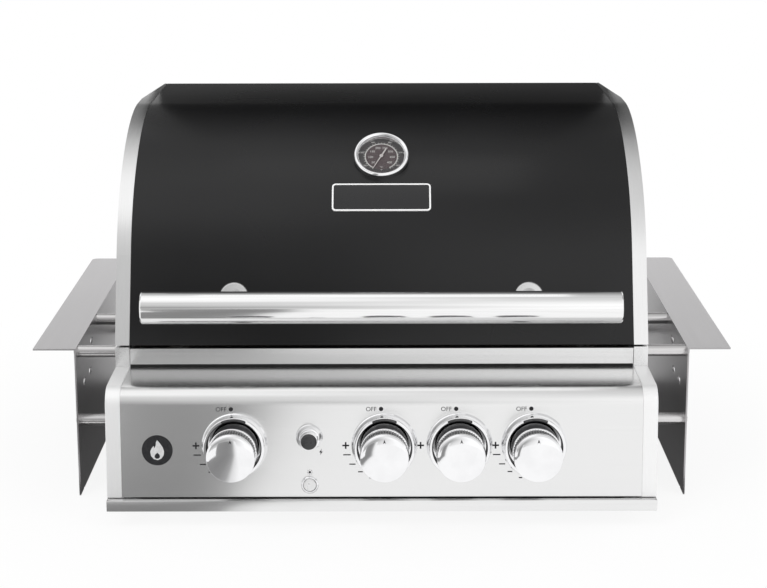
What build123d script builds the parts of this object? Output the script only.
from build123d import *
import math
import os

os.makedirs("parts", exist_ok=True)

# A built-in gas grill, in millimetres. X runs to the right as the cook sees it, Y runs back
# from the front edge of the mounting flanges, and Z runs up from the lower edge of the
# bracket plates. Every piece is shifted in Y when it is written, so that the origin lies
# under the middle of the whole grill.

# Sheet metal, clearances and cutting tools
sheet = 1.5
thin_sheet = 1.0
gap = 0.3
fit_gap = 0.05
overrun = 6.0

# Mounting brackets that hang the grill in its cut-out
bracket_room = 51.0
bracket_height = 191.0
bracket_sheet = 2.0
flange_width = 51.0
flange_corner = 8.0
notch_front = 26.0
notch_width = 6.0
notch_depth = 3.0
slot_length = 20.0
slot_height = 8.0
high_slot_back = 133.0
high_slot_drop = 24.0
low_slot_back = 64.5
low_slot_pitch = 49.0
low_slot_drop = 59.0

# Tube spacers and bolts between the brackets and the body
spacer_radius = 7.4
spacer_bore = 5.0
spacer_front = 22.0
spacer_middle = 187.0
spacer_rear_room = 18.0
spacer_high_drop = 8.8
spacer_low_drop = 98.0
bolt_radius = 2.5
bolt_head_radius = 4.4
bolt_head_height = 3.5
bolt_nut_height = 4.0
bolt_tail = 7.0

# Body sides, sill and pans
body_width = 660.0
body_depth = 505.0
band_width = 17.7
post_rise = 1.7
sill_height = 20.0
sill_shelf = 22.0
sill_foot_depth = 12.0
bulkhead_foot = 36.0
pan_lip = 12.0
pan_slot_length = 70.0
pan_slot_width = 16.0
pan_slot_count = 4
pan_slot_rows = 2
louvre_length = 120.0
louvre_height = 8.0
louvre_pitch = 20.0
louvre_rows = 3
louvre_columns = 3
louvre_foot = 60.0

# Firebox tub, its ledges and the back wall above it
tub_side_room = 32.0
tub_rear_room = 48.5
tub_floor = 41.0
tub_floor_lip = 16.0
ledge_depth = 14.0
grate_ledge_drop = 25.0
tamer_ledge_drop = 73.0
back_wall_side_room = 8.0
back_wall_rise = 140.0
window_margin = 12.0
window_foot = 18.0
window_head = 110.0

# Hood, seen from the side: a leaning front, two round bends and a level top
hood_gap = 4.2
hood_rise = 264.0
hood_overhang = 21.0
front_slope = 68.5
brow_slope = 38.0
brow_radius = 205.0
crown_radius = 320.0
rear_corner_radius = 18.0
rear_wall_lift = 25.0
front_lip = 18.0
bevel_length = 176.0
bevel_width = 16.0
liner_gap = 14.0
liner_side_gap = 3.2
rest_pad_radius = 5.0
rest_pad_back = 20.0

# Hood hinge
hinge_reach = 57.0
hinge_pin_radius = 5.0
hinge_pin_head = 8.0
hinge_pin_head_height = 3.0
hinge_pin_tip_room = 3.0
ear_sheet = 3.5
ear_radius = 14.0
ear_width = 40.0
ear_root_drop = 40.0
bush_radius = 9.0
bush_length = 9.0

# Handle
handle_radius = 20.0
handle_wall = 1.5
handle_side_room = 38.0
handle_cap_bevel = 3.0
handle_front = 35.0
handle_rise = 60.5
standoff_half_pitch = 183.0
standoff_radius = 11.0
rosette_radius = 18.0
rosette_height = 5.0
rosette_edge = 2.0

# Thermometer, standing steeper than the hood behind it
gauge_radius = 35.0
gauge_slope = 32.6
gauge_stand = 12.4
gauge_tilt = 48.0
gauge_rim = 3.0
gauge_height = 9.0
gauge_edge = 1.5
gauge_floor = 1.0
gauge_neck_radius = 31.0
gauge_neck_length = 60.0
gauge_dial_sheet = 0.8
gauge_glass_sheet = 1.5
gauge_glass_drop = 1.5
gauge_needle_drop = 4.9
gauge_needle_sheet = 0.6
gauge_needle_width = 1.8
gauge_needle_length = 24.0
gauge_needle_tail = 11.0
gauge_hub_radius = 2.4
gauge_shaft_radius = 1.0
gauge_shaft_length = 8.0
gauge_needle_angle = 242.0
probe_radius = 3.5
probe_length = 95.0

# Badge plate
badge_half_width = 62.3
badge_low_angle = 53.0
badge_high_angle = 41.4
badge_sheet = 2.0
badge_corner = 5.0

# Control panel
panel_drop = 23.7
panel_projection = 102.4
panel_height = 130.8
panel_lean = 4.2
shoulder_radius = 22.0
panel_return = 14.0
cap_proud = 0.6

# Knob row: five even places, the second of them holds the igniter and the light switch
knob_pitch = 89.6
knob_row_shift = 3.4
knob_slots = (-2, 0, 1, 2)
burner_slots = (-2, 0, 2)
rear_burner_slot = 1
button_slot = -1
knob_drop = 91.0
stem_hole_radius = 11.0

# Knob bezels with their light windows
bezel_radius = 39.35
bezel_step_radius = 37.0
bezel_step_height = 3.0
bezel_height = 18.0
bezel_edge = 1.5
bezel_mouth_radius = 32.5
bezel_floor = 1.5
bezel_hole_radius = 6.0
window_radius = 34.7
window_width = 2.0
window_depth = 3.0
window_angle = 42.0
window_gap = 0.05

# Knobs
knob_travel = 3.5
knob_floor_room = 2.0
knob_body_radius = 28.0
knob_skirt_radius = 28.9
knob_skirt_start = 37.0
knob_skirt_height = 3.0
knob_grip_radius = 27.4
knob_grip_end = 63.0
knob_face_radius = 28.7
knob_face_edge = 2.0
knob_face_rim = 69.0
knob_reach = 73.0
knob_wall = 3.0
knob_hub_radius = 9.0
knob_socket_end = 56.0

# Gas valves behind the panel
valve_radius = 14.0
valve_back = 62.0
valve_front = 25.0
valve_cap = 4.0
plug_radius = 8.0
plug_back = 56.0
plug_front = 40.0
plug_socket_back = 53.0
stem_radius = 4.0
stem_clear_radius = 4.6
stem_tail_width = 5.0
stem_tail_gap = 0.1
stem_collar_radius = 7.0
stem_collar_height = 2.0
stem_collar_room = 0.4
stem_tip = 54.0
stem_tail_room = 1.5
spring_radius = 6.5
spring_bore = 4.2
jet_radius = 4.0
jet_length = 14.0

# Manifold and gas pipes
manifold_radius = 10.0
manifold_drop = 28.0
manifold_depth = 45.0
manifold_left = 230.0
manifold_elbow = 30.0
boss_radius = 6.0
hanger_width = 20.0
hanger_sheet = 4.0
hanger_place = 130.0
inlet_radius = 6.0
inlet_side_room = 25.0
inlet_bend = 14.0
inlet_thread_radius = 6.58
inlet_thread_length = 12.0
inlet_nut_radius = 10.0
inlet_nut_length = 8.0
supply_radius = 4.0
supply_bend = 12.0
supply_front = 14.0
supply_rise = 50.0
supply_tub_room = 18.5
supply_side = 200.0

# Push buttons: room left under a button that is pressed home
button_floor_room = 1.5

# Igniter push button
igniter_drop = 81.0
igniter_flange_radius = 16.0
igniter_flange_height = 3.0
igniter_step_radius = 12.5
igniter_step_height = 12.0
igniter_collar_radius = 10.4
igniter_collar_height = 27.0
igniter_body_radius = 10.5
igniter_body_depth = 45.0
igniter_nut_radius = 14.0
igniter_nut_height = 5.0
igniter_button_radius = 9.0
igniter_button_reach = 32.0
igniter_button_back = 4.0
igniter_button_edge = 1.5
igniter_travel = 5.0

# Light push button
light_drop = 139.4
light_flange_radius = 10.5
light_flange_height = 3.0
light_flange_edge = 1.2
light_body_radius = 9.3
light_body_depth = 25.0
light_nut_radius = 12.0
light_nut_height = 4.0
light_button_radius = 7.7
light_button_reach = 3.6
light_button_back = 5.0
light_button_edge = 0.8
light_travel = 2.5

# Main burners
burner_radius = 19.0
burner_wall = 1.5
throat_radius = 12.0
throat_front = 37.0
throat_end = 60.0
burner_rear_room = 24.5
burner_tab_width = 24.0
burner_tab_height = 6.0
throat_gap = 0.4

# Flame tamers
tamer_half = 74.0
tamer_height = 30.0

# Cooking grates
grate_frame_radius = 5.0
grate_bar_radius = 4.0
grate_bar_count = 16
grate_cross_radius = 2.5
grate_cross_drop = 1.0
grate_cross_share = (0.33, 0.67)
grate_count = 2

# Warming rack
rack_rise = 112.0
rack_depth = 118.0
rack_rear_room = 26.5
rack_side_room = 16.0
rack_wire_radius = 2.4
rack_long_wires = 7
rack_cross_wires = 5
rack_cross_drop = 1.6
rack_overhang = 5.0
rack_leg_radius = 2.8
rack_leg_bend = 8.0
rack_leg_inset = 32.0
rack_foot_reach = 9.0

# Rear infrared burner
tile_box_half = 222.0
tile_box_depth = 25.5
tile_box_foot = 8.0
tile_box_head = 118.0
tile_inset = 2.0
tile_thickness = 12.0

# Ignition electrodes
electrode_radius = 3.0
electrode_length = 30.0
electrode_tip_radius = 1.2
electrode_tip_length = 14.0
electrode_back = 130.0
electrode_bracket = 2.0

# Drip tray and its front
tray_front_drop = 157.7
tray_front_height = 12.3
tray_front_reach = 121.0
tray_side_room = 34.0
tray_rear_room = 75.0
tray_hold = 30.0
tray_depth = 11.0
tray_wall = 1.2
tray_rail_width = 26.0

# Levels and places that follow from the sizes above
knob_back = bezel_floor + knob_travel + knob_floor_room
spring_front = valve_front + valve_cap + gap + stem_collar_height + knob_travel + stem_collar_room
body_half = body_width / 2
tray_half = body_half - tray_side_room
tray_back = body_depth - tray_rear_room
tray_travel = tray_back - tray_hold
hood_depth = body_depth + hood_overhang
bevel_start = hood_depth - bevel_length
flange_top = bracket_height
flange_length = hood_depth
plate_face = body_half + bracket_room
spacer_rear = body_depth - spacer_rear_room
band_inside = body_half - band_width
post_top = flange_top + post_rise
sill_foot = flange_top - sill_height
panel_top = flange_top - panel_drop
panel_foot = panel_top - panel_height
tub_top = flange_top - sheet
hood_foot = flange_top + hood_gap
hood_top = flange_top + hood_rise
hinge_y = hood_depth - hinge_reach
hinge_z = hood_foot + hinge_reach
lean_sin = math.sin(math.radians(panel_lean))
lean_cos = math.cos(math.radians(panel_lean))
lean_tan = lean_sin / lean_cos
tub_half = body_half - tub_side_room
tub_back = body_depth - tub_rear_room
back_wall_half = tub_half - back_wall_side_room
window_half = tile_box_half - window_margin
liner_half = tub_half + liner_side_gap
ear_outside = tub_half - sheet
ear_inside = ear_outside - ear_sheet
hinge_pin_tip = body_half - hinge_pin_tip_room
handle_half = body_half - handle_side_room
inlet_side = body_half - inlet_side_room
inlet_nut_end = body_depth + gap + inlet_nut_length
inlet_thread_end = inlet_nut_end + inlet_thread_length
manifold_right = inlet_side - manifold_elbow
supply_back = tub_back + supply_tub_room
burner_end = tub_back - burner_rear_room
rack_half = tub_half - rack_side_room
rack_foot_half = tub_half + rack_foot_reach
rack_back = tub_back - rack_rear_room
rack_front = rack_back - rack_depth
rack_rear_leg = rack_back - rack_leg_inset


# Shapes that many pieces share
def block(x0, x1, y0, y1, z0, z1):
    low = Align.MIN
    return Pos(x0, y0, z0) * Box(x1 - x0, y1 - y0, z1 - z0, align=(low, low, low))


def prism(outline, x0, x1):
    return Pos(x0, 0, 0) * extrude(Plane.YZ * outline, amount=x1 - x0, dir=(1, 0, 0))


def polygon(*points):
    return make_face(Polyline(*points, close=True))


def long_prism(outline, y0, y1):
    return Pos(0, y0, 0) * extrude(Plane.XZ * outline, amount=y1 - y0, dir=(0, 1, 0))


def turned(*points):
    return revolve(Plane.XZ * polygon(*points), Axis.Z)


def rod(start, end, radius):
    line = Vector(*end) - Vector(*start)
    base = (Align.CENTER, Align.CENTER, Align.MIN)
    return Plane(origin=start, z_dir=line) * Cylinder(radius, line.length, align=base)


def x_rod(x0, x1, y, z, radius):
    return rod((x0, y, z), (x1, y, z), radius)


def y_rod(y0, y1, x, z, radius):
    return rod((x, y0, z), (x, y1, z), radius)


def disc(radius, low, high):
    return Pos(0, 0, low) * Cylinder(radius, high - low, align=(Align.CENTER, Align.CENTER, Align.MIN))


def bent_rod(points, bend, radius):
    path = FilletPolyline(*points, radius=bend)
    first = Plane(origin=points[0], z_dir=Vector(*points[1]) - Vector(*points[0]))
    return sweep(first * Circle(radius), path=path)


def other_side(shape):
    return mirror(shape, about=Plane.YZ)


def face_y(z):
    return -(panel_projection + (panel_top - z) * lean_tan)


def panel_place(x, drop):
    z = flange_top - drop
    return Plane(origin=(x, face_y(z), z), x_dir=(1, 0, 0), z_dir=(0, -lean_cos, lean_sin))


def slot_x(slot):
    return knob_row_shift + slot * knob_pitch


# Mounting brackets, their spacers and their bolts
def spacer_places():
    high = flange_top - spacer_high_drop
    low = flange_top - spacer_low_drop
    rows = [(spacer_front, high), (spacer_middle, high), (spacer_rear, high)]
    return rows + [(spacer_front, low), (spacer_rear, low)]


def fixing_slot(y, z):
    inside, outside = plate_face - bracket_sheet - overrun, plate_face + overrun
    half = (slot_length - slot_height) / 2
    radius = slot_height / 2
    middle = block(inside, outside, y - half, y + half, z - radius, z + radius)
    return middle + x_rod(inside, outside, y - half, z, radius) + x_rod(inside, outside, y + half, z, radius)


def mounting_bracket():
    inside, outside = plate_face - bracket_sheet, plate_face + flange_width
    plate = block(inside, plate_face, 0, flange_length, 0, flange_top)
    flange = block(inside, outside, 0, flange_length, flange_top - bracket_sheet, flange_top)
    corner = flange.edges().filter_by(Axis.Z).sort_by(lambda e: e.center().X + e.center().Y)[-1]
    bracket = plate + fillet(corner, flange_corner)
    notch_end = notch_front + notch_width
    bracket -= block(inside - overrun, outside, notch_front, notch_end, -overrun, notch_depth)
    bracket -= fixing_slot(high_slot_back, flange_top - high_slot_drop)
    for step in (0, 1):
        bracket -= fixing_slot(low_slot_back + step * low_slot_pitch, flange_top - low_slot_drop)
    for y, z in spacer_places():
        bracket -= x_rod(inside - overrun, outside, y, z, bolt_radius + gap)
    return bracket


def bracket_spacer(y, z):
    tube = x_rod(body_half, plate_face - bracket_sheet, y, z, spacer_radius)
    return tube - x_rod(body_half - overrun, plate_face + overrun, y, z, spacer_bore)


def bracket_bolt(y, z):
    nut_face = body_half - sheet
    head = x_rod(plate_face, plate_face + bolt_head_height, y, z, bolt_head_radius)
    shank = x_rod(nut_face - bolt_tail, plate_face + bolt_head_height, y, z, bolt_radius)
    nut = x_rod(nut_face - bolt_nut_height, nut_face, y, z, bolt_head_radius)
    return head + shank + nut


# Body: side panels with their front posts, sill, bulkhead, base pan and rear panel
def side_panel():
    wall = block(body_half - sheet, body_half, 0, body_depth, 0, post_top)
    post = block(band_inside, body_half, 0, sheet, bulkhead_foot, post_top)
    top = block(band_inside, body_half, 0, body_depth, post_top - sheet, post_top)
    lip = block(band_inside, band_inside + sheet, 0, body_depth - sheet, sill_foot, post_top)
    panel = wall + post + top + lip
    for y, z in spacer_places():
        panel -= x_rod(body_half - sheet - gap, body_half + overrun, y, z, bolt_radius + gap)
    return panel


def front_sill():
    front = block(-band_inside, band_inside, 0, sheet, sill_foot, flange_top)
    shelf = block(-band_inside, band_inside, 0, sill_shelf, flange_top - sheet, flange_top)
    foot = block(-band_inside, band_inside, 0, sill_foot_depth, sill_foot, sill_foot + sheet)
    return front + shelf + foot


def front_bulkhead():
    half = body_half - sheet
    plate = block(-half, half, sheet, 2 * sheet, bulkhead_foot, sill_foot)
    for slot in burner_slots:
        plate -= y_rod(-overrun, overrun, slot_x(slot), burner_z, throat_radius + throat_gap)
    for z, radius in ((supply_rise, supply_radius), (manifold_z, inlet_radius)):
        plate -= y_rod(-overrun, overrun, inlet_side, z, radius + throat_gap)
    return plate


def base_pan():
    half = body_half - sheet
    pan = block(-half, half, 2 * sheet, body_depth - sheet, 0, sheet)
    pan += block(-half, half, 2 * sheet, 3 * sheet, 0, pan_lip)
    pitch = 2 * half / pan_slot_count
    for row in range(pan_slot_rows):
        y = body_depth * (row + 1) / (pan_slot_rows + 1)
        for column in range(pan_slot_count):
            x = -half + (column + 1 / 2) * pitch
            pan -= block(x - pan_slot_length / 2, x + pan_slot_length / 2,
                         y - pan_slot_width / 2, y + pan_slot_width / 2, -overrun, overrun)
    return pan


def rear_panel():
    half = body_half - sheet
    panel = block(-half, half, body_depth - sheet, body_depth, 0, tub_top - sheet)
    pitch = 2 * half / louvre_columns
    for row in range(louvre_rows):
        z = louvre_foot + row * louvre_pitch
        for column in range(louvre_columns):
            x = -half + (column + 1 / 2) * pitch
            panel -= block(x - louvre_length / 2, x + louvre_length / 2,
                           body_depth - overrun, body_depth + overrun, z, z + louvre_height)
    start, end = body_depth - overrun, body_depth + overrun
    return panel - y_rod(start, end, inlet_side, manifold_z, inlet_radius + throat_gap)


# Firebox: an open tub with ledges, a back wall with a window, and the hinge ears
def firebox():
    wall = tub_half - sheet
    front = sill_shelf
    tub = block(-tub_half, tub_half, front, tub_back, tub_floor, tub_top)
    tub -= block(-wall, wall, front + sheet, tub_back - sheet, tub_floor + sheet, tub_top + overrun)
    hole = wall - tub_floor_lip
    tub -= block(-hole, hole, front + sheet + tub_floor_lip, tub_back - sheet - tub_floor_lip,
                 tub_floor - overrun, tub_floor + overrun)
    rim = block(-band_inside, band_inside, sheet, body_depth, tub_top - sheet, tub_top)
    tub += rim - block(-wall, wall, front + sheet, tub_back - sheet, tub_top - overrun, tub_top + overrun)
    for drop in (grate_ledge_drop, tamer_ledge_drop):
        z = flange_top - drop
        tub += block(-wall, wall, front + sheet, front + sheet + ledge_depth, z, z + sheet)
        tub += block(-wall, wall, tub_back - sheet - ledge_depth, tub_back - sheet, z, z + sheet)
    tub += back_wall() + hinge_ear() + other_side(hinge_ear())
    for slot in burner_slots:
        tub -= y_rod(0, front + overrun, slot_x(slot), burner_z, throat_radius + throat_gap)
    start = (supply_side, supply_back, tub_top - overrun)
    return tub - rod(start, (supply_side, supply_back, tub_top + overrun), supply_radius + throat_gap)


def back_wall():
    front, top = tub_back - sheet, flange_top + back_wall_rise
    wall = block(-back_wall_half, back_wall_half, front, tub_back, tub_top, top)
    return wall - block(-window_half, window_half, tub_back - overrun, tub_back + overrun,
                        flange_top + window_foot, flange_top + window_head)


def hinge_rod(x0, x1, radius):
    return x_rod(x0, x1, hinge_y, hinge_z, radius)


def hinge_ear():
    edge = ear_radius * math.sqrt(1 / 2)
    back = tub_back - 2 * sheet - gap
    root = tub_top - ear_root_drop
    arm = polygon((back - ear_width, root), (back, root), (back, tub_top + post_rise),
                  (hinge_y + edge, hinge_z - edge), (hinge_y - edge, hinge_z + edge),
                  (back - ear_width, tub_top))
    ear = prism(arm, ear_inside, ear_outside)
    ear += hinge_rod(ear_inside, ear_outside, ear_radius)
    return ear - hinge_rod(ear_inside - overrun, ear_outside + overrun, hinge_pin_radius + fit_gap)


def hinge_pin():
    pin = hinge_rod(ear_inside, hinge_pin_tip, hinge_pin_radius)
    return pin + hinge_rod(ear_inside - hinge_pin_head_height, ear_inside, hinge_pin_head)


def hinge_bush():
    end = liner_half + bush_length
    bush = hinge_rod(liner_half, end, bush_radius)
    return bush - hinge_rod(liner_half - overrun, end + overrun, hinge_pin_radius + fit_gap)


def rest_pad():
    x = body_half - band_width / 2
    return rod((x, rest_pad_back, post_top), (x, rest_pad_back, hood_foot - gap), rest_pad_radius)


# Hood outline in the side view. A slope is the angle of the surface from level.
def ring_point(centre, radius, slope):
    angle = math.radians(slope)
    return (centre[0] - radius * math.sin(angle), centre[1] + radius * math.cos(angle))


def arc(centre, radius, start, end):
    return ThreePointArc(*(ring_point(centre, radius, slope) for slope in (start, (start + end) / 2, end)))


def front_foot(start, z):
    return (start[0] - (start[1] - z) / math.tan(math.radians(front_slope)), z)


def bend_centres(crown_y):
    crown = (crown_y, hood_top - crown_radius)
    return ring_point(crown, crown_radius - brow_radius, brow_slope), crown


brow_start = ring_point(bend_centres(0)[0], brow_radius, front_slope)
brow_centre, crown_centre = bend_centres(-front_foot(brow_start, hood_foot)[0])
corner_centre = (hood_depth - rear_corner_radius, hood_top - rear_corner_radius)
hinge_centre = (hinge_y, hinge_z)


def hood_outline(inset):
    brow = arc(brow_centre, brow_radius - inset, front_slope, brow_slope)
    crown = arc(crown_centre, crown_radius - inset, brow_slope, 0)
    corner = arc(corner_centre, rear_corner_radius - inset, 0, -90)
    heel = arc(hinge_centre, hinge_reach - inset, -90, -180)
    foot = front_foot(ring_point(brow_centre, brow_radius - inset, front_slope), hood_foot + inset)
    lines = [Line(foot, brow @ 0), brow, crown, Line(crown @ 1, corner @ 0), corner,
             Line(corner @ 1, heel @ 0), heel, Line(heel @ 1, foot)]
    return make_face(lines)


def foot_skirt(inset, depth):
    start = ring_point(brow_centre, brow_radius - inset, front_slope)
    high = hood_foot + inset
    low = high - depth
    return polygon(front_foot(start, low), front_foot(start, high), (hinge_y, high), (hinge_y, low))


def bevelled(solid, inset):
    outer = body_half - inset
    top = hood_top - inset
    across = Vector(-bevel_width, hood_depth - bevel_start, 0)
    down = Vector(0, hood_depth - bevel_start, -bevel_width)
    outward = across.cross(down) * -1
    return split(solid, bisect_by=Plane(origin=(outer, bevel_start, top), z_dir=outward), keep=Keep.BOTTOM)


def hood_cap():
    shell = bevelled(prism(hood_outline(0), band_inside, body_half), 0)
    hollow = bevelled(prism(hood_outline(sheet), band_inside - overrun, body_half - sheet), sheet)
    start = liner_half - thin_sheet
    inner_floor = block(start, band_inside, front_lip, hinge_y, hood_foot, hood_foot + sheet)
    return shell - hollow + inner_floor


def open_rear(half):
    start, end = hood_depth / 2, hood_depth + overrun
    return block(-half, half, start, end, hood_foot - overrun, hinge_z + rear_wall_lift)


def probe_hole():
    return gauge_place * Pos(0, 0, -probe_length) * Cylinder(probe_radius + gap, 2 * probe_length)


def hood_shell():
    skin = prism(hood_outline(0), -band_inside, band_inside)
    end = band_inside + overrun
    skin -= prism(hood_outline(sheet), -end, end)
    skin -= block(-end, end, front_lip, hood_depth, hood_foot - overrun, hood_foot + 2 * sheet)
    return skin - open_rear(end) - probe_hole()


def hood_liner():
    inside = liner_half - thin_sheet
    outer = prism(hood_outline(liner_gap), -liner_half, liner_half)
    outer += prism(foot_skirt(liner_gap, liner_gap - sheet), -liner_half, liner_half)
    hollow = prism(hood_outline(liner_gap + thin_sheet), -inside, inside)
    hollow += prism(foot_skirt(liner_gap + thin_sheet, liner_gap + overrun), -inside, inside)
    liner = outer - hollow - open_rear(inside)
    end = liner_half + overrun
    return liner - hinge_rod(-end, end, hinge_pin_radius + thin_sheet) - probe_hole()


# Handle tube on two stand-offs with round rosettes
def hood_front_y(rise):
    return (rise - hood_gap) / math.tan(math.radians(front_slope))


def hood_handle():
    y, z = -handle_front, flange_top + handle_rise
    tube = x_rod(-handle_half, handle_half, y, z, handle_radius)
    ends = tube.edges().filter_by(GeomType.CIRCLE)
    tube = chamfer(ends, handle_cap_bevel)
    hollow = handle_half - handle_cap_bevel - handle_wall
    return tube - x_rod(-hollow, hollow, y, z, handle_radius - handle_wall)


def handle_standoff(x):
    z = flange_top + handle_rise
    y = hood_front_y(handle_rise)
    slope = math.radians(front_slope)
    place = Plane(origin=(x, y, z), z_dir=(0, -math.sin(slope), math.cos(slope)))
    rosette = disc(rosette_radius, 0, rosette_height)
    rosette = place * chamfer(rosette.edges().group_by(Axis.Z)[-1], rosette_edge)
    left, right = x - rosette_radius, x + rosette_radius
    post = y_rod(-handle_front, y + rosette_radius, x, z, standoff_radius)
    post -= prism(hood_outline(0), left, right)
    return rosette + post - x_rod(left, right, -handle_front, z, handle_radius + fit_gap)


# Thermometer: case with a probe, dial, needle and glass
gauge_angle = math.radians(gauge_tilt)
gauge_normal = (0, -math.cos(gauge_angle), math.sin(gauge_angle))
gauge_y, gauge_z = ring_point(crown_centre, crown_radius + gauge_stand, gauge_slope)
gauge_place = Plane(origin=(0, gauge_y, gauge_z), x_dir=(1, 0, 0), z_dir=gauge_normal)


def thermometer_case():
    bore = gauge_radius - gauge_rim
    rim = turned((0, -gauge_height), (gauge_radius, -gauge_height), (gauge_radius, -gauge_edge),
                 (gauge_radius - gauge_edge, 0), (bore, 0), (bore, gauge_floor - gauge_height),
                 (0, gauge_floor - gauge_height))
    neck = disc(gauge_neck_radius, -gauge_height - gauge_neck_length, -gauge_height)
    hood_solid = prism(hood_outline(-fit_gap), -gauge_radius, gauge_radius)
    probe = disc(probe_radius, -gauge_height - probe_length, -gauge_height)
    case = gauge_place * (rim + neck) - hood_solid + gauge_place * probe
    bore = disc(gauge_shaft_radius + fit_gap, -gauge_needle_drop - gauge_shaft_length, 0)
    return case - gauge_place * bore


def thermometer_dial():
    low = gauge_floor - gauge_height
    high = low + gauge_dial_sheet
    dial = disc(gauge_radius - gauge_rim - fit_gap, low, high)
    return gauge_place * (dial - disc(gauge_shaft_radius + fit_gap, low, high))


def thermometer_glass():
    top = -gauge_glass_drop
    return gauge_place * disc(gauge_radius - gauge_rim - fit_gap, top - gauge_glass_sheet, top)


def thermometer_needle():
    low = -gauge_needle_drop - gauge_needle_sheet
    turn = Rot(0, 0, gauge_needle_angle)
    half = gauge_needle_width / 2
    blade = turn * block(-gauge_needle_tail, gauge_needle_length, -half, half, low, -gauge_needle_drop)
    hub = disc(gauge_hub_radius, low, -gauge_needle_drop)
    shaft = disc(gauge_shaft_radius, gauge_needle_sheet - gauge_needle_drop - gauge_shaft_length, low)
    return gauge_place * (blade + hub + shaft)


def badge_plate():
    inner = arc(brow_centre, brow_radius, badge_low_angle, badge_high_angle)
    outer = arc(brow_centre, brow_radius + badge_sheet, badge_low_angle, badge_high_angle)
    section = make_face([inner, outer, Line(inner @ 0, outer @ 0), Line(inner @ 1, outer @ 1)])
    plate = prism(section, -badge_half_width, badge_half_width)
    corners = plate.edges().filter_by(lambda e: abs(e.length - badge_sheet) < fit_gap)
    return fillet(corners, badge_corner)


# Control panel and its end caps
def panel_outline(inset, back):
    top = panel_top - inset
    foot = panel_foot + inset
    reach = inset / lean_cos
    corner = (face_y(top) + reach, top)
    face = polygon((back, top), corner, (face_y(foot) + reach, foot), (back, foot))
    vertex = face.vertices().sort_by_distance(corner)[0]
    return fillet(vertex, shoulder_radius - inset)


def control_panel():
    panel = prism(panel_outline(0, sheet), -band_inside, band_inside)
    panel -= prism(panel_outline(sheet, sheet + overrun), -band_inside - overrun, band_inside + overrun)
    cut_front = face_y(panel_foot) + panel_return
    panel -= block(-band_inside - overrun, band_inside + overrun, cut_front, overrun,
                   panel_foot - overrun, panel_foot + 2 * sheet)
    for slot in knob_slots:
        panel -= panel_place(slot_x(slot), knob_drop) * Cylinder(stem_hole_radius, overrun)
    x = slot_x(button_slot)
    panel -= panel_place(x, igniter_drop) * Cylinder(igniter_body_radius + gap, overrun)
    return panel - panel_place(x, light_drop) * Cylinder(light_body_radius + gap, overrun)


def end_cap():
    cap = prism(panel_outline(-cap_proud, 0), band_inside, body_half)
    hollow = prism(panel_outline(sheet, overrun), band_inside - overrun, body_half - sheet)
    return cap - hollow


# Valve train, built about the local axis that stands square on the panel face
def valve_body(slot):
    body = disc(valve_radius, -valve_back, -valve_front)
    body += disc(jet_radius, -valve_back - jet_length, -valve_back)
    body -= disc(plug_radius + fit_gap, -plug_back, -valve_front - valve_cap)
    body -= disc(stem_clear_radius, -plug_front, -valve_front + overrun)
    return panel_place(slot_x(slot), knob_drop) * body


def valve_plug(slot):
    plug = disc(plug_radius, gap - plug_back, -plug_front)
    half = stem_tail_width / 2 + stem_tail_gap
    plug -= block(-half, half, -half, half, -plug_socket_back, -plug_front + overrun)
    spring = disc(spring_radius, -plug_front, -spring_front) - disc(spring_bore, -plug_front, -spring_front)
    place = panel_place(slot_x(slot), knob_drop)
    return place * plug, place * spring


def valve_stem(slot):
    collar_top = -valve_front - valve_cap - gap
    collar_foot = collar_top - stem_collar_height
    stem = disc(stem_radius, collar_foot, stem_tip) + disc(stem_collar_radius, collar_foot, collar_top)
    half = stem_tail_width / 2
    tail_end = knob_travel + stem_tail_room - plug_socket_back
    stem += block(-half, half, -half, half, tail_end, collar_foot)
    return panel_place(slot_x(slot), knob_drop) * stem


def knob(slot):
    skirt_end = knob_skirt_start + knob_skirt_height
    body = turned((0, knob_back), (knob_body_radius, knob_back), (knob_body_radius, knob_skirt_start),
                  (knob_skirt_radius, knob_skirt_start), (knob_skirt_radius, skirt_end),
                  (knob_grip_radius, skirt_end), (knob_grip_radius, knob_grip_end),
                  (knob_face_radius, knob_grip_end), (knob_face_radius, knob_face_rim - knob_face_edge),
                  (knob_face_radius - knob_face_edge, knob_face_rim), (0, knob_reach))
    hollow_end = knob_grip_end - knob_wall
    hollow = disc(knob_grip_radius - knob_wall, knob_back, hollow_end)
    hollow -= disc(knob_hub_radius, knob_back, hollow_end)
    socket = disc(stem_radius + fit_gap, knob_back, knob_socket_end)
    return panel_place(slot_x(slot), knob_drop) * (body - hollow - socket)


def window_ring(width, top):
    inner = window_radius - width / 2
    outer = window_radius + width / 2
    foot = bezel_height - window_depth
    ring = turned((inner, foot), (outer, foot), (outer, top), (inner, top))
    half = math.radians(window_angle / 2)
    reach = bezel_radius
    wedge = polygon((0, 0), (reach * math.sin(half), reach), (-reach * math.sin(half), reach))
    return ring & extrude(wedge, amount=bezel_height + overrun)


def knob_bezel(slot):
    shoulder = bezel_height - bezel_edge
    bezel = turned((bezel_hole_radius, 0), (bezel_radius, 0), (bezel_radius, bezel_step_height),
                   (bezel_step_radius, bezel_step_height + bezel_edge), (bezel_step_radius, shoulder),
                   (bezel_step_radius - bezel_edge, bezel_height),
                   (bezel_mouth_radius + bezel_edge / 2, bezel_height), (bezel_mouth_radius, shoulder),
                   (bezel_mouth_radius, bezel_floor), (bezel_hole_radius, bezel_floor))
    bezel -= window_ring(window_width, bezel_height + overrun)
    return panel_place(slot_x(slot), knob_drop) * bezel


def bezel_lens(slot):
    return panel_place(slot_x(slot), knob_drop) * window_ring(window_width - 2 * window_gap, bezel_height)


# Igniter and light switch: a can through the panel, held by a nut, with a push button in its bore
def switch_nut(radius, height):
    top = -sheet - gap
    return disc(radius, top - height, top)


def push_button(radius, back, reach, edge):
    return turned((0, -back), (radius, -back), (radius, reach - edge), (radius - edge, reach), (0, reach))


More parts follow.
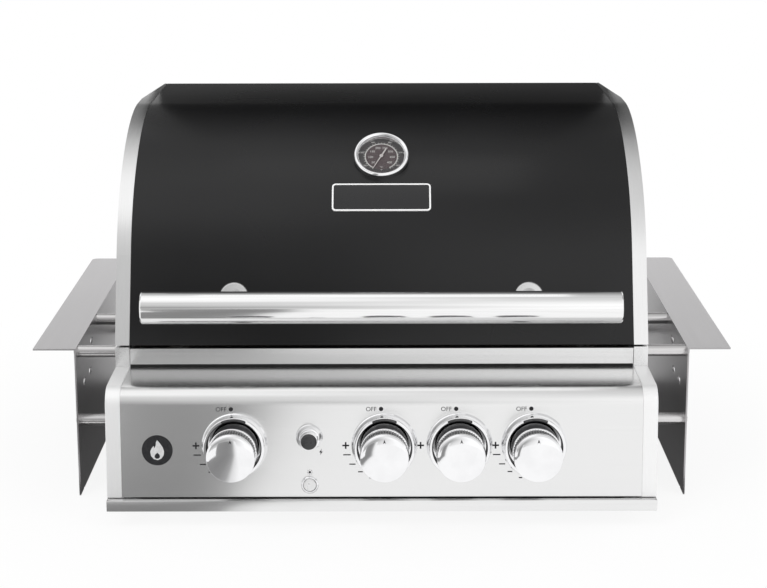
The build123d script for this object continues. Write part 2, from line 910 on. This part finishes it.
def igniter_housing():
    housing = turned((0, 0), (igniter_flange_radius, 0), (igniter_flange_radius, igniter_flange_height),
                     (igniter_step_radius, igniter_step_height), (igniter_collar_radius, igniter_step_height),
                     (igniter_collar_radius, igniter_collar_height), (0, igniter_collar_height))
    housing += disc(igniter_body_radius, -igniter_body_depth, 0)
    housing += switch_nut(igniter_nut_radius, igniter_nut_height)
    bore_end = -igniter_button_back - igniter_travel - button_floor_room
    housing -= disc(igniter_button_radius + gap, bore_end, igniter_collar_height)
    return panel_place(slot_x(button_slot), igniter_drop) * housing


def igniter_button():
    radius, back = igniter_button_radius, igniter_button_back
    button = push_button(radius, back, igniter_button_reach, igniter_button_edge)
    return panel_place(slot_x(button_slot), igniter_drop) * button


def light_switch_housing():
    edge = light_flange_height - light_flange_edge
    housing = turned((0, 0), (light_flange_radius, 0), (light_flange_radius, edge),
                     (light_flange_radius - light_flange_edge, light_flange_height), (0, light_flange_height))
    housing += disc(light_body_radius, -light_body_depth, 0)
    housing += switch_nut(light_nut_radius, light_nut_height)
    bore_end = -light_button_back - light_travel - button_floor_room
    housing -= disc(light_button_radius + gap, bore_end, light_flange_height)
    return panel_place(slot_x(button_slot), light_drop) * housing


def light_button():
    button = push_button(light_button_radius, light_button_back, light_button_reach, light_button_edge)
    return panel_place(slot_x(button_slot), light_drop) * button


# Manifold, gas inlet and the pipe to the rear burner
valve_axis = panel_place(0, knob_drop)
manifold_point = valve_axis.from_local_coords(Vector(0, -manifold_drop, -manifold_depth))
manifold_y, manifold_z = manifold_point.Y, manifold_point.Z
jet_tip = valve_axis.from_local_coords(Vector(0, 0, -valve_back - jet_length))
burner_z = jet_tip.Z


def gas_manifold():
    y, z = manifold_y, manifold_z
    pipe = x_rod(-manifold_left, manifold_right, y, z, manifold_radius)
    for slot in knob_slots:
        foot = Plane(origin=(slot_x(slot), y, z), z_dir=(0, lean_sin, lean_cos))
        pipe += foot * disc(boss_radius, 0, manifold_drop - valve_radius - fit_gap)
    half, low, high = hanger_width / 2, z - hanger_sheet / 2, z + hanger_sheet / 2
    for x in (-hanger_place, hanger_place):
        pipe += block(x - half, x + half, y, sheet, low, high)
    return pipe


def gas_inlet():
    y, z = manifold_y, manifold_z
    route = [(manifold_right, y, z), (inlet_side, y, z), (inlet_side, inlet_nut_end, z)]
    nut = y_rod(inlet_nut_end - inlet_nut_length, inlet_nut_end, inlet_side, z, inlet_nut_radius)
    thread = y_rod(inlet_nut_end, inlet_thread_end, inlet_side, z, inlet_thread_radius)
    return bent_rod(route, inlet_bend, inlet_radius) + nut + thread


def rear_burner_pipe():
    x = slot_x(rear_burner_slot)
    front = -supply_front
    start = jet_tip.Y + jet_radius * lean_sin + fit_gap
    route = [(x, start, burner_z), (x, front, burner_z), (x, front, supply_rise),
             (inlet_side, front, supply_rise), (inlet_side, supply_back, supply_rise),
             (supply_side, supply_back, supply_rise), (supply_side, supply_back, flange_top + tile_box_foot)]
    return bent_rod(route, supply_bend, supply_radius)


# Burners and what lies above them
def main_burner(slot):
    x = slot_x(slot)
    z = burner_z
    throat = y_rod(-throat_front, throat_end, x, z, throat_radius)
    tube = y_rod(throat_end, burner_end, x, z, burner_radius)
    bore = y_rod(-throat_front - overrun, throat_end + overrun, x, z, throat_radius - burner_wall)
    chamber = y_rod(throat_end + burner_wall, burner_end - 2 * burner_wall, x, z, burner_radius - burner_wall)
    tab = block(x - burner_tab_width / 2, x + burner_tab_width / 2, burner_end - sheet, tub_back - sheet,
                z - burner_tab_height / 2, z + burner_tab_height / 2)
    return throat + tube - bore - chamber + tab


def flame_tamer(slot):
    x = slot_x(slot)
    foot = flange_top - tamer_ledge_drop + sheet
    top = foot + tamer_height
    across = sheet * math.hypot(tamer_half, tamer_height) / tamer_height
    left, right = x - tamer_half, x + tamer_half
    roof = polygon((left, foot), (x, top), (right, foot), (right - across, foot),
                   (x, top - across * tamer_height / tamer_half), (left + across, foot))
    return long_prism(roof, sill_shelf + sheet + gap, tub_back - sheet - gap)


def cooking_grate(index):
    frame, bar = grate_frame_radius, grate_bar_radius
    z = flange_top - grate_ledge_drop + sheet + frame
    inside = ear_inside - gap
    width = 2 * inside / grate_count
    left = -inside + index * width + gap
    right = left + width - 2 * gap
    front = sill_shelf + sheet + gap + frame
    back = tub_back - sheet - gap - frame
    grate = x_rod(left, right, front, z, frame) + x_rod(left, right, back, z, frame)
    for share in grate_cross_share:
        y = front + share * (back - front)
        grate += x_rod(left + frame, right - frame, y, z - grate_cross_drop, grate_cross_radius)
    for step in range(grate_bar_count + 1):
        x = left + frame + (right - left - 2 * frame) * step / grate_bar_count
        grate += y_rod(front, back, x, z, bar)
    return grate


def warming_rack():
    z = flange_top + rack_rise
    foot = tub_top + rack_leg_radius
    side_end = rack_half + rack_overhang
    front_end, back_end = rack_front - rack_overhang, rack_back + rack_overhang
    pieces = []
    for wire in range(rack_long_wires):
        y = rack_front + (rack_back - rack_front) * wire / (rack_long_wires - 1)
        pieces.append(x_rod(-side_end, side_end, y, z, rack_wire_radius))
    for wire in range(rack_cross_wires):
        x = rack_half * (2 * wire / (rack_cross_wires - 1) - 1)
        pieces.append(y_rod(front_end, back_end, x, z - rack_cross_drop, rack_wire_radius))
    for y in (rack_front, rack_rear_leg):
        for side in (-1, 1):
            x, end = side * rack_half, side * rack_foot_half
            route = [(x, y, z - rack_wire_radius / 2), (x, y, foot), (end, y, foot)]
            pieces.append(bent_rod(route, rack_leg_bend, rack_leg_radius))
    return pieces[0].fuse(*pieces[1:])


def rear_burner_housing():
    low, high = flange_top + tile_box_foot, flange_top + tile_box_head
    box = block(-tile_box_half, tile_box_half, tub_back, tub_back + tile_box_depth, low, high)
    inner = tile_box_half - thin_sheet
    return box - block(-inner, inner, tub_back - overrun, tub_back + tile_box_depth - thin_sheet,
                       low + thin_sheet, high - thin_sheet)


def rear_burner_tile():
    low, high = flange_top + tile_box_foot + thin_sheet, flange_top + tile_box_head - thin_sheet
    inner = tile_box_half - thin_sheet
    start = tub_back + tile_inset
    return block(-inner, inner, start, start + tile_thickness, low, high)


def electrode(slot):
    x = slot_x(slot) + burner_radius + electrode_bracket + electrode_radius
    z = burner_z + burner_radius / 2
    start = electrode_back
    end = start + electrode_length
    stick = y_rod(start, end, x, z, electrode_radius)
    stick += y_rod(end, end + electrode_tip_length, x, z, electrode_tip_radius)
    middle = start + electrode_length / 2
    below = z - electrode_bracket / 2 - burner_z
    seat = slot_x(slot) + math.sqrt(burner_radius ** 2 - below ** 2) + fit_gap
    clip = block(seat, x, middle - electrode_bracket, middle + electrode_bracket,
                 z - electrode_bracket / 2, z + electrode_bracket / 2)
    return stick + clip


# Drip tray that slides out to the front on two rails
tray_foot = flange_top - tray_front_drop - tray_front_height
tray_front_back = -tray_front_reach + 2 * sheet


def tray_front():
    top = tray_foot + tray_front_height
    return block(-body_half, body_half, -tray_front_reach, tray_front_back, tray_foot, top)


def drip_tray():
    top = tray_foot + tray_depth
    tray = block(-tray_half, tray_half, tray_front_back, tray_back, tray_foot, top)
    inner = tray_half - tray_wall
    return tray - block(-inner, inner, tray_front_back + tray_wall, tray_back - tray_wall,
                        tray_foot + tray_wall, top + overrun)


def tray_rail():
    top = tray_foot - gap
    front, back = 3 * sheet, body_depth - sheet
    shelf = block(tray_half - tray_rail_width, body_half - sheet, front, back, top - sheet, top)
    guide_inside = tray_half + gap
    return shelf + block(guide_inside, guide_inside + sheet, front, back, top - sheet, top + tray_depth)


# Every piece, by its node name
def pair(shape):
    return [shape, other_side(shape)]


spacers = [bracket_spacer(y, z) for y, z in spacer_places()]
bolts = [bracket_bolt(y, z) for y, z in spacer_places()]

nodes = {
    "right_mounting_bracket": [mounting_bracket()],
    "left_mounting_bracket": [other_side(mounting_bracket())],
    "bracket_spacers": spacers + [other_side(shape) for shape in spacers],
    "bracket_bolts": bolts + [other_side(shape) for shape in bolts],
    "right_side_panel": [side_panel()],
    "left_side_panel": [other_side(side_panel())],
    "front_sill": [front_sill()],
    "front_bulkhead": [front_bulkhead()],
    "base_pan": [base_pan()],
    "rear_panel": [rear_panel()],
    "firebox": [firebox()],
    "hinge_pins": pair(hinge_pin()),
    "hood_rest_pads": pair(rest_pad()),
    "control_panel": [control_panel()],
    "right_end_cap": [end_cap()],
    "left_end_cap": [other_side(end_cap())],
    "gas_manifold": [gas_manifold()],
    "gas_inlet": [gas_inlet()],
    "rear_burner_pipe": [rear_burner_pipe()],
    "valve_bodies": [valve_body(slot) for slot in knob_slots],
    "knob_bezels": [knob_bezel(slot) for slot in knob_slots],
    "bezel_lenses": [bezel_lens(slot) for slot in knob_slots],
    "igniter_housing": [igniter_housing()],
    "light_switch_housing": [light_switch_housing()],
    "main_burners": [main_burner(slot) for slot in burner_slots],
    "flame_tamers": [flame_tamer(slot) for slot in burner_slots],
    "cooking_grates": [cooking_grate(index) for index in range(grate_count)],
    "warming_rack": [warming_rack()],
    "rear_burner_housing": [rear_burner_housing()],
    "rear_burner_tile": [rear_burner_tile()],
    "electrodes": [electrode(slot) for slot in burner_slots],
    "tray_rails": pair(tray_rail()),
    "drip_tray": [drip_tray()],
    "tray_front": [tray_front()],
    "igniter_button": [igniter_button()],
    "light_button": [light_button()],
    "hood_shell": [hood_shell()],
    "right_hood_cap": [hood_cap()],
    "left_hood_cap": [other_side(hood_cap())],
    "hood_liner": [hood_liner()],
    "hinge_bushes": pair(hinge_bush()),
    "hood_handle": [hood_handle()],
    "handle_standoffs": [handle_standoff(side * standoff_half_pitch) for side in (-1, 1)],
    "thermometer_case": [thermometer_case()],
    "thermometer_dial": [thermometer_dial()],
    "thermometer_glass": [thermometer_glass()],
    "thermometer_needle": [thermometer_needle()],
    "badge_plate": [badge_plate()],
}
for number, slot in enumerate(knob_slots, start=1):
    nodes[f"valve_plug_{number}"] = list(valve_plug(slot))
    nodes[f"valve_stem_{number}"] = [valve_stem(slot)]
    nodes[f"knob_{number}"] = [knob(slot)]

# The origin goes under the middle of the box that holds every piece
solids = {name: [solid for shape in shapes for solid in shape.solids()] for name, shapes in nodes.items()}
whole = Compound([solid for group in solids.values() for solid in group]).bounding_box()
middle_y = (whole.min.Y + whole.max.Y) / 2
for name, group in solids.items():
    shape = group[0] if len(group) == 1 else Compound(group)
    export_step(Pos(0, -middle_y, 0) * shape, f"parts/{name}.step")
print(f"{len(nodes)} nodes, box {whole.size}, middle at {middle_y:.3f}")
